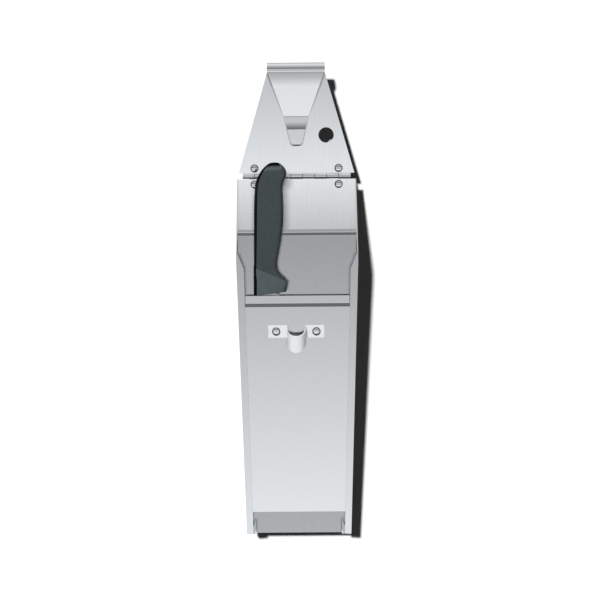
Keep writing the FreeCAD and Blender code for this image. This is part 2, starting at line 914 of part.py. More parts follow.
def build_blade():
    """A narrow boning blade, wedge-ground to its edge, with a flat tang up into the handle."""
    body = body_of("knife_blade")
    pad(body, wedge_sketch(body, "blade_section"), dim.blade_length, reverse=True)
    outline = sketch_on(body, "XZ_Plane", "blade_outline")
    outside = dim.heel_side + CUT_OVERRUN
    below = -(dim.blade_length + CUT_OVERRUN)
    trace(
        outline,
        [
            (dim.heel_side, -dim.heel_height),
            (dim.belly_side, -dim.belly_drop, dim.belly_drop),
            (dim.point_sweep_side, -dim.point_sweep_drop, dim.belly_drop),
            (dim.point_side, -dim.blade_length),
            (dim.point_side, below),
            (outside, below),
            (outside, -dim.heel_height),
        ],
    )
    pocket(body, outline, symmetric=True)
    tang = tang_sketch(body, "tang_outline", -dim.heel_height / 2)
    pad(body, tang, dim.blade_gauge / 2, symmetric=True)
    lean(body, dim.knife_lean, dim.knife_depth, dim.knife_drop)
    return body


def wedge_sketch(body, name):
    """The blade's section, thick at the spine and thin at the edge."""
    sketch = sketch_on(body, "XY_Plane", name)
    spine = dim.blade_gauge / 2
    edge = dim.blade_edge_gauge / 2
    trace(
        sketch,
        [
            (dim.spine_side, -spine),
            (dim.heel_side, -edge),
            (dim.heel_side, edge),
            (dim.spine_side, spine),
        ],
    )
    return sketch


def tang_sketch(body, name, low):
    """The tang's outline, from a low edge up into the grip."""
    sketch = sketch_on(body, "XZ_Plane", name)
    far = dim.tang_side + dim.tang_width
    trace(
        sketch,
        [(dim.tang_side, low), (far, low), (far, dim.tang_length), (dim.tang_side, dim.tang_length)],
    )
    return sketch


def build_handle():
    """The moulded grip, lofted from the guard to the butt around the tang."""
    body = body_of("knife_handle")
    sections = [grip_section(body, station[0]) for station in GRIP_STATIONS]
    loft = body.newObject("PartDesign::AdditiveLoft", "grip_loft")
    loft.Profile = (sections[0], [])
    loft.Sections = [(section, [""]) for section in sections[1:]]
    loft.Ruled = True
    doc.recompute()
    slot = tang_sketch(body, "tang_slot", -(dim.grip_base_drop + CUT_OVERRUN))
    slot_cut(body, slot, dim.blade_gauge / 2)
    pocket(body, wedge_sketch(body, "heel_seat"))
    lean(body, dim.knife_lean, dim.knife_depth, dim.knife_drop)
    return body


def grip_section(body, name):
    """One rounded section of the grip, square to the knife's length."""
    sketch = sketch_on(body, "XY_Plane", "grip_" + name, getattr(dim, name + "_height"))
    left = getattr(dim, name + "_left")
    right = getattr(dim, name + "_right")
    half = getattr(dim, name + "_half")
    corner = getattr(dim, name + "_corner")
    corners = [(left, -half), (right, -half), (right, half), (left, half)]
    trace(sketch, [(*at, corner) for at in corners])
    return sketch


def slot_cut(body, sketch, width):
    feature = body.newObject("PartDesign::Pocket", sketch.Name + "_cut")
    feature.Profile = (sketch, [])
    feature.SideType = "Symmetric"
    bind(feature, Length=width)
    doc.recompute()


# ---------------------------------------------------------------- assembly


def check_document():
    doc.recompute()
    for thing in doc.Objects:
        if "Invalid" in thing.State or "Error" in thing.State:
            raise RuntimeError(f"{thing.Label} is {thing.State}")


def main():
    fill_sheet()
    plate_front = dim.belt_gap / 2
    upper = dim.rivet_reach - dim.hinge_drop
    lower = -(dim.hinge_drop + dim.rivet_reach)
    sides = [-dim.rivet_side, dim.rivet_side]
    shell_front = plate_front + dim.plate_gauge - dim.shell_gauge
    nodes = [
        build_belt_plate(),
        build_leaf("upper_hinge_leaf", UPPER_KNUCKLES, True, dim.hinge_pin_radius),
        build_hinge_pin(),
        build_rivets("upper_hinge_rivets", sides, plate_front, upper, dim.plate_gauge + dim.leaf_gauge),
        build_leaf("lower_hinge_leaf", LOWER_KNUCKLES, False, dim.hinge_pin_radius + dim.hinge_pin_play),
        build_rivets("lower_hinge_rivets", sides, shell_front, lower, dim.shell_gauge + dim.leaf_gauge),
        build_shell(),
        build_divider(),
        build_front_panel(),
        build_holder(),
        build_holder_rivets(),
        build_blade(),
        build_handle(),
    ]
    check_document()
    for node in nodes:
        shape = node.Shape
        if shape.isNull() or not shape.isValid() or not shape.Solids:
            raise RuntimeError(f"{node.Label} has no valid solid")
        shape.exportStep(f"parts/{node.Label}.step")
        box_mm = shape.BoundBox
        print(
            f"{node.Label:22s} {len(shape.Solids)} solid(s) {shape.Volume:10.1f} mm3"
            f"  x {box_mm.XMin:7.2f} {box_mm.XMax:7.2f}  y {box_mm.YMin:7.2f} {box_mm.YMax:7.2f}"
            f"  z {box_mm.ZMin:8.2f} {box_mm.ZMax:8.2f}"
        )


main()
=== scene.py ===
"""Looks for a butcher's belt scabbard.

Brushed sheet steel, a riveted hinge and a boning knife's moulded grip, with their studio."""

import json
import math

import bpy
from bpy.props import FloatProperty, FloatVectorProperty, IntProperty, PointerProperty
from mathutils import Matrix, Vector


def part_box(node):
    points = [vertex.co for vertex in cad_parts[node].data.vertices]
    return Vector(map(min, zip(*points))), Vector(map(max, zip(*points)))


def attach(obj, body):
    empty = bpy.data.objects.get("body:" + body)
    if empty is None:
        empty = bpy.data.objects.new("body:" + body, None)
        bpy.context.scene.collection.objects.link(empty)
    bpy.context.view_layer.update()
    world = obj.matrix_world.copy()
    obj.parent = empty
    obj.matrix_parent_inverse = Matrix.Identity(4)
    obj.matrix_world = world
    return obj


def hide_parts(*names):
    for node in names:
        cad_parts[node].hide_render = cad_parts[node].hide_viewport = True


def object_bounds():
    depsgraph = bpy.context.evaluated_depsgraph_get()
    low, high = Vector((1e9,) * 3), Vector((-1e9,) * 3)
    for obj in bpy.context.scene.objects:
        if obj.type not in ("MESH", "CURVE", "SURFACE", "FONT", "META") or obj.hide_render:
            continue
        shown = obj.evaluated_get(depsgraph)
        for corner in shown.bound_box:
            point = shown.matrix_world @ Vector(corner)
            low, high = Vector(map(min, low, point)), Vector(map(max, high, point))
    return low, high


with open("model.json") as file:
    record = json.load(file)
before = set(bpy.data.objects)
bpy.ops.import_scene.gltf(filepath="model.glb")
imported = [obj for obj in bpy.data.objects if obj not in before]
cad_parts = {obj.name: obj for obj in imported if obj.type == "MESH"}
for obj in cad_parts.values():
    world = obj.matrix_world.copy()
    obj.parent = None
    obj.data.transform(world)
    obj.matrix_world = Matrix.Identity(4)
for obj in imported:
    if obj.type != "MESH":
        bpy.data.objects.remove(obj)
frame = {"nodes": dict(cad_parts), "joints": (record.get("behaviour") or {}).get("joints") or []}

bl_info = {
    "name": "Belt scabbard",
    "version": (1, 0, 0),
    "blender": (4, 5, 0),
    "location": "View3D > Sidebar > Scabbard",
    "description": "Finishes a steel belt scabbard and its boning knife, and sets up its studio",
    "category": "Object",
}

MM = 0.001
PLATE_GAUGE = 1.2 * MM
CAD_LOW, CAD_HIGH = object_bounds()
PLATE_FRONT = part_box("belt_plate")[1].y - PLATE_GAUGE
JOINTS = {joint["name"]: joint for joint in frame["joints"]}
DRAW = Vector(JOINTS["knife_draw"]["axis"])
KNIFE_LEAN = math.atan2(-DRAW.y, DRAW.z)

# The knife's own axes: X across the grip, Y through it, Z along it from the guard's foot.
KNIFE_TURN = Matrix.Rotation(KNIFE_LEAN, 4, "X")


def upright_box(node):
    """A knife node's lowest and highest corners along the knife's own axes."""
    back = KNIFE_TURN.inverted()
    points = [back @ vertex.co for vertex in frame["nodes"][node].data.vertices]
    low = Vector([min(point[axis] for point in points) for axis in range(3)])
    high = Vector([max(point[axis] for point in points) for axis in range(3)])
    return low, high


GRIP_LOW, GRIP_HIGH = upright_box("knife_handle")
GRIP_MIDDLE = (GRIP_LOW.y + GRIP_HIGH.y) / 2

KNUCKLES = 9
SHEET_NODES = ("belt_plate", "scabbard_shell", "divider_panel", "front_panel")
HINGE_NODES = ("upper_hinge_leaf", "lower_hinge_leaf", "hinge_pin")

# The body that each pair of rivets rides on.
RIVETS = {
    "upper_hinge_rivets": "hanger",
    "lower_hinge_rivets": "scabbard",
    "steel_holder_rivets": "insert",
}

# The studio as polished steel sees it: a dim floor, two soft lights with a dimmer horizon
# between them, and a pale ceiling. Degrees above the horizon, and shade on a display.
STUDIO_SHADES = (
    (-90, 0.4),
    (-40, 0.4),
    (-20, 0.9),
    (-10, 0.7),
    (0, 0.5),
    (5, 0.9),
    (15, 0.4),
    (90, 0.9),
)
STUDIO_GAIN = 1.25


# ---------------------------------------------------------------- settings


class SteelSettings(bpy.types.PropertyGroup):
    sheet_colour: FloatVectorProperty(
        name="Sheet colour",
        description="Tint of the folded sheets",
        default=(0.776, 0.80, 0.822),
        size=3,
        subtype="COLOR",
        min=0,
        max=1,
    )
    hinge_colour: FloatVectorProperty(
        name="Hinge colour",
        description="Tint of the hinge leaves and pin",
        default=(0.88, 0.89, 0.90),
        size=3,
        subtype="COLOR",
        min=0,
        max=1,
    )
    groove_pitch: FloatProperty(
        name="Groove pitch",
        description="Distance between the brushed grooves",
        default=0.08 * MM,
        min=0.01 * MM,
        unit="LENGTH",
    )
    groove_lean: FloatProperty(
        name="Groove lean",
        description="How far the sides of a groove lean from the sheet",
        default=math.radians(5),
        min=0,
        max=math.radians(20),
        subtype="ANGLE",
    )
    roughness: FloatProperty(
        name="Roughness",
        description="Roughness of the polished sheets",
        default=0.03,
        min=0.02,
        max=1,
        subtype="FACTOR",
    )


class GripSettings(bpy.types.PropertyGroup):
    colour: FloatVectorProperty(
        name="Grip colour",
        description="Colour of the moulded grip",
        default=(0.034, 0.043, 0.045),
        size=3,
        subtype="COLOR",
        min=0,
        max=1,
    )
    ridge: FloatProperty(
        name="Edge ridge",
        description="Width of the slope between the grip's face and its side",
        default=3.0 * MM,
        min=0.5 * MM,
        unit="LENGTH",
    )
    steepness: FloatProperty(
        name="Spine steepness",
        description="How much deeper than wide the slope on the spine's side is",
        default=2.4,
        min=1,
        max=3,
    )
    smoothing: IntProperty(
        name="Smoothing",
        description="Subdivision levels of the grip",
        default=3,
        min=0,
        max=4,
    )


class StudioSettings(bpy.types.PropertyGroup):
    camera_distance: FloatProperty(
        name="Camera distance",
        description="From the belt plate's face to the camera",
        default=1.43,
        min=0.5,
        unit="LENGTH",
    )
    view_width: FloatProperty(
        name="View width",
        description="Width of the view at the belt plate's face",
        default=0.6,
        min=0.1,
        unit="LENGTH",
    )
    camera_roll: FloatProperty(
        name="Camera roll",
        description="Lean of the camera to the right",
        default=math.radians(0.42),
        subtype="ANGLE",
    )
    wall_gap: FloatProperty(
        name="Wall gap",
        description="From the belt plate's face back to the wall",
        default=32 * MM,
        min=5 * MM,
        unit="LENGTH",
    )
    floor_drop: FloatProperty(
        name="Floor drop",
        description="From the belt's seat down to the floor",
        default=0.6,
        min=0.5,
        unit="LENGTH",
    )
    sun_strength: FloatProperty(
        name="Sun strength",
        description="Strength of the key light",
        default=4.6,
        min=0,
    )
    sun_softness: FloatProperty(
        name="Sun softness",
        description="Width of the key light",
        default=math.radians(4.5),
        subtype="ANGLE",
    )
    fill: FloatProperty(
        name="Fill",
        description="Light that reaches dull surfaces from all round",
        default=0.03,
        min=0,
    )


# ---------------------------------------------------------------- small helpers


def only(thing):
    """Selects one object and makes it active."""
    bpy.ops.object.select_all(action="DESELECT")
    thing.select_set(True)
    bpy.context.view_layer.objects.active = thing


def named(name):
    """Names the object that was just added."""
    thing = bpy.context.active_object
    thing.name = name
    thing.data.name = name
    return thing


def pick(thing, kind, test):
    """Selects, in edit mode, only the vertices, edges or faces that pass a test."""
    bpy.ops.mesh.select_mode(type={"vertices": "VERT", "edges": "EDGE", "polygons": "FACE"}[kind])
    bpy.ops.mesh.select_all(action="DESELECT")
    bpy.ops.object.mode_set(mode="OBJECT")
    parts = getattr(thing.data, kind)
    chosen = [part for part in parts if test(part)]
    for part in chosen:
        part.select = True
    bpy.ops.object.mode_set(mode="EDIT")
    if not chosen:
        raise RuntimeError(f"nothing to select on {thing.name}")


def settle(thing):
    """Puts an object's place, turn and scale into its mesh."""
    only(thing)
    bpy.ops.object.transform_apply(location=True, rotation=True, scale=True)


def apply_modifier(thing, kind, **values):
    only(thing)
    modifier = thing.modifiers.new(kind.title(), kind)
    for name, value in values.items():
        setattr(modifier, name, value)
    bpy.ops.object.modifier_apply(modifier=modifier.name)


def face_outwards(thing):
    only(thing)
    bpy.ops.object.mode_set(mode="EDIT")
    bpy.ops.mesh.select_all(action="SELECT")
    bpy.ops.mesh.remove_doubles(threshold=0.001 * MM)
    bpy.ops.mesh.normals_make_consistent(inside=False)
    bpy.ops.object.mode_set(mode="OBJECT")


def light_of(shade):
    """Linear light of a display shade."""
    return ((shade + 0.055) / 1.055) ** 2.4 if shade > 0.04045 else shade / 12.92


# ---------------------------------------------------------------- node helpers


class Tree:
    """A node tree with short ways to add and join nodes."""

    def __init__(self, tree):
        self.tree = tree

    def add(self, kind, settings=None, **inputs):
        node = self.tree.nodes.new("ShaderNode" + kind)
        for name, value in (settings or {}).items():
            setattr(node, name, value)
        for name, value in inputs.items():
            self.feed(node, name.replace("_", " "), value)
        return node

    def feed(self, node, name, value):
        """Sets an input, or joins it to an output. The name n2 means the input with index 2."""
        is_index = name[0] == "n" and name[1:].isdigit()
        socket = node.inputs[int(name[1:]) if is_index else name]
        if isinstance(value, bpy.types.NodeSocket):
            self.tree.links.new(value, socket)
        else:
            socket.default_value = value

    def math(self, operation, first, second=0.0, third=0.0, clamp=False):
        settings = {"operation": operation, "use_clamp": clamp}
        return self.add("Math", settings, n0=first, n1=second, n2=third).outputs[0]

    def vector(self, operation, first, second=(0, 0, 0)):
        node = self.add("VectorMath", {"operation": operation}, n0=first, n1=second)
        return node.outputs[0]

    def scaled(self, vector, factor):
        node = self.add("VectorMath", {"operation": "SCALE"}, n0=vector)
        self.feed(node, "Scale", factor)
        return node.outputs[0]

    def ramp(self, factor, stops):
        """A ramp of (place, grey or colour)."""
        node = self.add("ValToRGB", Fac=factor)
        elements = node.color_ramp.elements
        elements.remove(elements[1])
        for index, (place, value) in enumerate(stops):
            element = elements.new(place) if index else elements[0]
            element.position = place
            colour = (value,) * 3 if isinstance(value, (int, float)) else tuple(value)
            element.color = (*colour, 1)
        return node.outputs["Color"]

    def mix(self, factor, first, second, blend="MIX"):
        node = self.add("Mix", {"data_type": "RGBA", "blend_type": blend})
        self.feed(node, "n0", factor)
        self.feed(node, "n6", first)
        self.feed(node, "n7", second)
        return node.outputs[2]


def new_group(name, inputs, outputs):
    """A shader group with its sockets, and its input and output nodes."""
    tree = bpy.data.node_groups.new(name, "ShaderNodeTree")
    for label, kind, default in inputs:
        socket = tree.interface.new_socket(name=label, in_out="INPUT", socket_type=kind)
        socket.default_value = default
    for label, kind in outputs:
        tree.interface.new_socket(name=label, in_out="OUTPUT", socket_type=kind)
    source = tree.nodes.new("NodeGroupInput")
    sink = tree.nodes.new("NodeGroupOutput")
    return Tree(tree), source.outputs, sink


def place_group(nodes, name, **inputs):
    """A shared group placed in a material with its own values."""
    node = nodes.tree.nodes.new("ShaderNodeGroup")
    node.node_tree = bpy.data.node_groups[name]
    for label, value in inputs.items():
        nodes.feed(node, label.replace("_", " "), value)
    return node.outputs


def make_brushed_grooves():
    """Fine upright grooves.

    The surface leans a little to each side in turn, so light spreads sideways."""
    nodes, given, sink = new_group(
        "Brushed grooves",
        [("Pitch", "NodeSocketFloat", 0.08 * MM), ("Lean", "NodeSocketFloat", 0.09)],
        [("Normal", "NodeSocketVector"), ("Streak", "NodeSocketFloat")],
    )
    place = nodes.add("TexCoord")
    across = nodes.add("SeparateXYZ", Vector=place.outputs["Object"])
    wander_place = nodes.vector("MULTIPLY", place.outputs["Object"], (90, 90, 14))
    wander = nodes.add("TexNoise", Vector=wander_place, Scale=1.0, Detail=2.0)
    run = nodes.math("ADD", across.outputs["X"], across.outputs["Y"])
    run = nodes.math("ADD", run, nodes.math("MULTIPLY", wander.outputs[0], 2 * MM))
    wave = nodes.math("PINGPONG", nodes.math("DIVIDE", run, given["Pitch"]), 1.0)
    swing = nodes.math("SUBTRACT", nodes.math("MULTIPLY", wave, 2.0), 1.0)
    lean = nodes.math("MULTIPLY", swing, given["Lean"])
    flat = place.outputs["Normal"]
    sideways = nodes.vector("NORMALIZE", nodes.vector("CROSS_PRODUCT", flat, (0, 0, 1)))
    leaning = nodes.vector("ADD", flat, nodes.scaled(sideways, lean))
    turned = nodes.add(
        "VectorTransform",
        {"vector_type": "NORMAL", "convert_from": "OBJECT", "convert_to": "WORLD"},
        Vector=nodes.vector("NORMALIZE", leaning),
    )
    streak_place = nodes.vector("MULTIPLY", place.outputs["Object"], (2600, 2600, 30))
    streak = nodes.add("TexNoise", Vector=streak_place, Scale=1.0, Detail=3.0)
    nodes.feed(sink, "Normal", turned.outputs["Vector"])
    nodes.feed(sink, "Streak", streak.outputs[0])


def make_handling_marks():
    """Soft smears and short scratches that dull a polished sheet here and there."""
    nodes, given, sink = new_group(
        "Handling marks",
        [("Strength", "NodeSocketFloat", 0.5), ("Size", "NodeSocketFloat", 30.0)],
        [("Marks", "NodeSocketFloat")],
    )
    place = nodes.add("TexCoord").outputs["Object"]
    smear = nodes.add("TexNoise", Vector=nodes.scaled(place, given["Size"]), Scale=1.0, Detail=4.0)
    smear = nodes.math("SUBTRACT", smear.outputs[0], 0.45, clamp=True)
    scratch_place = nodes.vector("MULTIPLY", place, (900, 900, 160))
    edges = {"feature": "DISTANCE_TO_EDGE"}
    scratch = nodes.add("TexVoronoi", edges, Vector=scratch_place, Scale=1.0)
    scratch = nodes.math("LESS_THAN", scratch.outputs[0], 0.012)
    marks = nodes.math("MULTIPLY_ADD", scratch, 0.35, smear)
    nodes.feed(sink, "Marks", nodes.math("MULTIPLY", marks, given["Strength"]))


def make_moulded_grain():
    """The fine pebbled skin of a moulded grip, as a height, with a soft mottling."""
    nodes, given, sink = new_group(
        "Moulded grain",
        [("Size", "NodeSocketFloat", 1600.0)],
        [("Height", "NodeSocketFloat"), ("Mottle", "NodeSocketFloat")],
    )
    place = nodes.add("TexCoord").outputs["Object"]
    grain = nodes.add("TexVoronoi", {"feature": "SMOOTH_F1"}, Vector=place, Scale=given["Size"])
    mottle = nodes.add("TexNoise", Vector=place, Scale=180.0, Detail=4.0)
    nodes.feed(sink, "Height", grain.outputs[0])
    nodes.feed(sink, "Mottle", mottle.outputs[0])


# ---------------------------------------------------------------- materials


def new_material(name):
    material = bpy.data.materials.new(name)
    material.use_nodes = True
    material.node_tree.nodes.clear()
    nodes = Tree(material.node_tree)
    shader = nodes.add("BsdfPrincipled")
    output = nodes.add("OutputMaterial", Surface=shader.outputs[0])
    output.is_active_output = True
    return material, nodes, shader


def steel(name, colour, roughness, marks, metal=1.0):
    """Brushed stainless steel with grooves that spread light sideways, streaks and marks."""
    material, nodes, shader = new_material(name)
    settings = bpy.context.scene.scabbard_steel
    lean = math.tan(settings.groove_lean)
    streaks = 0.03
    shader.inputs["Metallic"].default_value = metal
    grooves = place_group(nodes, "Brushed grooves", Pitch=settings.groove_pitch, Lean=lean)
    dull = place_group(nodes, "Handling marks", Strength=marks, Size=30.0)["Marks"]
    dark = tuple(part * (1 - streaks) for part in colour)
    light = tuple(min(1.0, part * (1 + streaks)) for part in colour)
    tone = nodes.ramp(grooves["Streak"], ((0.35, dark), (0.65, light)))
    nodes.feed(shader, "Base Color", tone)
    nodes.feed(shader, "Roughness", nodes.math("MULTIPLY_ADD", dull, 0.05, roughness))
    nodes.feed(shader, "Normal", grooves["Normal"])
    return material


GRIP_MOTTLE = (1.5, 1.83)
# Painted shade of the grip: darker by how far its surface turns from the face towards the spine and
# the butt.
GRIP_PAINTED_SHADE = ((0.1, 0.6), (0.18, 1.0), (0.24, 1.0), (0.5, 0.03))


def grip_plastic(name, colour):
    """Slate-black moulded plastic with a fine grain, and painted shade that turns it black towards
    spine and butt.
    """
    material, nodes, shader = new_material(name)
    grain = place_group(nodes, "Moulded grain", Size=1500.0)
    dark, light = (tuple(part * gain for part in colour) for gain in GRIP_MOTTLE)
    mottled = nodes.ramp(grain["Mottle"], ((0.3, dark), (0.7, light)))
    facing = nodes.add("SeparateXYZ", Vector=nodes.add("TexCoord").outputs["Normal"]).outputs
    away = nodes.math("MULTIPLY", facing["X"], -1.0)
    away = nodes.math("MULTIPLY_ADD", facing["Z"], 0.9, away)
    # Painted shade: the spine and butt sides are darkened, and their gloss is lowered too.
    painted_shade = nodes.ramp(away, GRIP_PAINTED_SHADE)
    nodes.feed(shader, "Base Color", nodes.mix(1.0, mottled, painted_shade, "MULTIPLY"))
    nodes.feed(shader, "Specular IOR Level", nodes.math("MULTIPLY", painted_shade, 0.5))
    nodes.feed(shader, "Roughness", nodes.math("MULTIPLY_ADD", grain["Mottle"], 0.2, 0.36))
    bump = nodes.add("Bump", Strength=0.25, Distance=0.05 * MM, Height=grain["Height"])
    nodes.feed(shader, "Normal", bump.outputs["Normal"])
    return material


def paint(node, material):
    """Gives a CAD node its material."""
    mesh = frame["nodes"][node].data
    mesh.materials.clear()
    mesh.materials.append(material)


# ---------------------------------------------------------------- operators


class SCABBARD_OT_finish_sheets(bpy.types.Operator):
    """Brushed steel for the belt plate, the body, the divider and the front panel"""

    bl_idname = "scabbard.finish_sheets"
    bl_label = "Finish the sheets"

    def execute(self, context):
        settings = context.scene.scabbard_steel
        for maker in (make_brushed_grooves, make_handling_marks, make_moulded_grain):
            maker()
        sheet = steel("Brushed sheet steel", settings.sheet_colour, settings.roughness, 0.15)
        for node in SHEET_NODES:
            paint(node, sheet)
        return {"FINISHED"}


class SCABBARD_OT_finish_fittings(bpy.types.Operator):
    """Steel for the hinge, the rivets, the strap and the blade"""

    bl_idname = "scabbard.finish_fittings"
    bl_label = "Finish the fittings"

    def execute(self, context):
        settings = context.scene.scabbard_steel
        hinge = steel("Rolled hinge steel", settings.hinge_colour, 0.12, 0.2)
        rivet = steel("Rivet steel", (0.92, 0.93, 0.94), 0.06, 0.1)
        strap = steel("Blasted strap steel", (0.86, 0.87, 0.88), 0.3, 0.3, metal=0.6)
        blade = steel("Ground blade steel", (0.9, 0.91, 0.92), 0.2, 0.2, metal=0.5)
        for node in HINGE_NODES:
            paint(node, hinge)
        for node in RIVETS:
            paint(node, rivet)
        paint("steel_holder", strap)
        paint("knife_blade", blade)
        return {"FINISHED"}


def seam_shade_material():
    """A dark material for narrow gaps, painted in as their shade."""
    if "Grimy seam" in bpy.data.materials:
        return bpy.data.materials["Grimy seam"]
    seam, nodes, shader = new_material("Grimy seam")
    shader.inputs["Base Color"].default_value = (0.02, 0.021, 0.022, 1)
    shader.inputs["Roughness"].default_value = 0.5
    grain = place_group(nodes, "Moulded grain", Size=2400.0)
    bump = nodes.add("Bump", Strength=0.2, Distance=0.03 * MM, Height=grain["Height"])
    nodes.feed(shader, "Normal", bump.outputs["Normal"])
    return seam


def add_ring(name, centre, radius, thickness, turn):
    """A thin dark ring of painted shade, turned from lying flat."""
    bpy.ops.object.select_all(action="DESELECT")
    bpy.ops.mesh.primitive_torus_add(
        major_segments=40,
        minor_segments=10,
        major_radius=radius,
        minor_radius=thickness,
        location=centre,
        rotation=turn,
    )
    ring = named(name)
    settle(ring)
    ring.data.materials.append(seam_shade_material())
    bpy.ops.object.shade_smooth_by_angle(angle=math.radians(40))
    return ring


class SCABBARD_OT_model_hinge_seams(bpy.types.Operator):
    """Dark rings of painted shade in the gaps between the hinge's knuckles"""

    bl_idname = "scabbard.model_hinge_seams"
    bl_label = "Model the hinge seams"

    def execute(self, context):
        low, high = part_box("hinge_pin")
        leaf_low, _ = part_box("upper_hinge_leaf")
        middle = (low + high) / 2
        radius = middle.y - leaf_low.y
        pitch = (high.x - low.x) / KNUCKLES
        for n in range(1, KNUCKLES):
            centre = (low.x + pitch * n, middle.y, middle.z)
            name = f"hinge_seam_{n}"
            ring = add_ring(name, centre, radius - 0.2 * MM, 0.35 * MM, (0, math.radians(90), 0))
            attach(ring, "hanger")
        return {"FINISHED"}


class SCABBARD_OT_model_rivets(bpy.types.Operator):
    """Domed caps on the six rivets, each in a dark ring of painted shade"""

    bl_idname = "scabbard.model_rivets"
    bl_label = "Model the rivets"

    def execute(self, context):
        cap_steel = bpy.data.materials["Rivet steel"]
        for node, body in RIVETS.items():
            low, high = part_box(node)
            radius = (high.z - low.z) / 2
            middle = (low.z + high.z) / 2
            for name, across in (("left", low.x + radius), ("right", high.x - radius)):
                face = low.y + radius * 0.25
                bpy.ops.object.select_all(action="DESELECT")
                bpy.ops.mesh.primitive_uv_sphere_add(
                    segments=32, ring_count=16, radius=radius * 0.8, location=(across, face, middle)
                )
                cap = named(f"{node}_{name}_cap")
                bpy.ops.transform.resize(value=(1, 0.28, 1))
                settle(cap)
                cap.data.materials.append(cap_steel)
                bpy.ops.object.shade_smooth_by_angle(angle=math.radians(40))
                ring = add_ring(
                    f"{node}_{name}_seam",
                    (across, face, middle),
                    radius * 0.88,
                    radius * 0.13,
                    (math.radians(90), 0, 0),
                )
                for piece in (cap, ring):
                    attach(piece, body)
        return {"FINISHED"}


# Grip sections from the guard's foot to the butt: height, left, right and half thickness, in mm,
# with the left and right edges measured from the grip's spine and the height from the foot.
GRIP_SECTIONS = (
    (-3.0, -1.0, 29.0, 7.6),
    (3.5, -1.0, 30.2, 7.6),
    (9.0, -1.0, 31.4, 7.6),
    (13.5, -1.0, 32.0, 7.6),
    (16.5, -1.0, 30.2, 7.5),
    (19.0, -1.0, 27.0, 7.4),
    (22.5, -0.9, 23.6, 7.1),
    (27.0, -0.9, 22.0, 6.9),
    (33.0, -0.8, 22.3, 7.5),
    (40.0, -0.8, 23.6, 8.3),
    (52.0, -0.7, 25.9, 8.8),
    (66.0, -0.6, 28.0, 9.1),
    (80.0, -0.5, 28.8, 9.2),
    (95.0, -0.1, 28.6, 9.0),
    (106.0, 0.8, 27.8, 8.8),
    (110.5, 1.6, 29.0, 8.7),
    (114.5, 3.0, 31.2, 8.6),
    (119.0, 5.4, 32.0, 8.3),
    (122.5, 7.8, 31.2, 7.6),
    (125.4, 10.6, 29.0, 6.5),
    (127.8, 13.6, 26.2, 4.7),
    (129.4, 16.6, 23.6, 2.6),
)
COLLAR_SECTIONS = (
    (-3.0, -1.2, 29.2, 8.6),
    (3.5, -1.2, 30.6, 8.7),
    (9.0, -1.2, 31.8, 8.8),
    (13.5, -1.2, 32.5, 8.8),
    (17.5, -1.2, 29.8, 8.8),
    (21.0, -1.1, 25.6, 8.7),
    (30.0, -1.1, 22.8, 8.6),
)
FOOT_SLOPE = math.radians(7)
COLLAR_HEIGHT = 27.6 * MM
COLLAR_SLOPE = math.radians(-23.5)
# The collar's plastic is a paler copy of the grip's: painted light on the collar.
COLLAR_PAINTED_LIGHT = 1.6
# Ridges further than this from the middle of the grip stay crisp.
FACE_DEPTH = 5.6 * MM


def stack_sections(name, sections, ridge, steepness):
    """A closed body extruded from its first section through the others, square to the knife.

    Its spine side slopes steeply away from the face, and its other side has a narrow bevel."""
    spine = GRIP_LOW.x
    foot = GRIP_LOW.z
    bpy.ops.object.select_all(action="DESELECT")
    bpy.ops.mesh.primitive_plane_add(size=1.0, location=(0, 0, 0))
    body = named(name)
    height, left, right, half = sections[0]
    first = (spine + (left + right) / 2 * MM, GRIP_MIDDLE, foot + height * MM)
    bpy.ops.object.mode_set(mode="EDIT")
    bpy.ops.mesh.select_all(action="SELECT")
    bpy.ops.transform.resize(value=((right - left) * MM, half * 2 / steepness * MM, 1))
    bpy.ops.transform.translate(value=first)
    bpy.ops.mesh.bevel(offset=ridge, segments=1, affect="VERTICES")
    bpy.ops.transform.resize(value=(1, steepness, 1), center_override=first)
    edge = spine + (right - 0.1) * MM
    pick(body, "vertices", lambda vertex: vertex.co.x > edge)
    side = half * MM - ridge * steepness
    bpy.ops.transform.resize(value=(1, (half * MM - ridge) / side, 1), center_override=first)
    bpy.ops.mesh.select_all(action="SELECT")
    for (z0, l0, r0, h0), (z1, l1, r1, h1) in zip(sections, sections[1:]):
        middle = (l0 + r0) / 2
        step = ((l1 + r1) / 2 - middle, 0, z1 - z0)
        bpy.ops.mesh.extrude_region_move(
            TRANSFORM_OT_translate={"value": [part * MM for part in step]}
        )
        centre = (spine + (l1 + r1) / 2 * MM, GRIP_MIDDLE, foot + z1 * MM)
        bpy.ops.transform.resize(
            value=((r1 - l1) / (r0 - l0), h1 / h0, 1), center_override=centre
        )
    bpy.ops.object.mode_set(mode="OBJECT")
    face_outwards(body)
    return body


def cut_away(thing, point, normal):
    """Cuts off what lies on the normal's side of a plane and closes the cut."""
    only(thing)
    bpy.ops.object.mode_set(mode="EDIT")
    bpy.ops.mesh.select_all(action="SELECT")
    bpy.ops.mesh.bisect(plane_co=point, plane_no=normal, use_fill=True, clear_outer=True)
    bpy.ops.object.mode_set(mode="OBJECT")


def crease_ridges(thing):
    """Keeps the long ridges beside the flat faces crisp."""
    only(thing)
    bpy.ops.object.mode_set(mode="EDIT")
    points = thing.data.vertices

    def is_ridge(edge):
        a, b = (points[index].co for index in edge.vertices)
        along = abs(a.z - b.z) > 0.5 * abs(a.x - b.x) and abs(a.z - b.z) > 1 * MM
        outer = max(abs(a.y - GRIP_MIDDLE), abs(b.y - GRIP_MIDDLE))
        return along and outer > FACE_DEPTH

    pick(thing, "edges", is_ridge)
    bpy.ops.transform.edge_crease(value=0.6)
    bpy.ops.object.mode_set(mode="OBJECT")


def lean_with_knife(thing):
    """Leans a piece that was modelled upright to the knife's own direction."""
    thing.data.transform(KNIFE_TURN)
    thing.data.update()


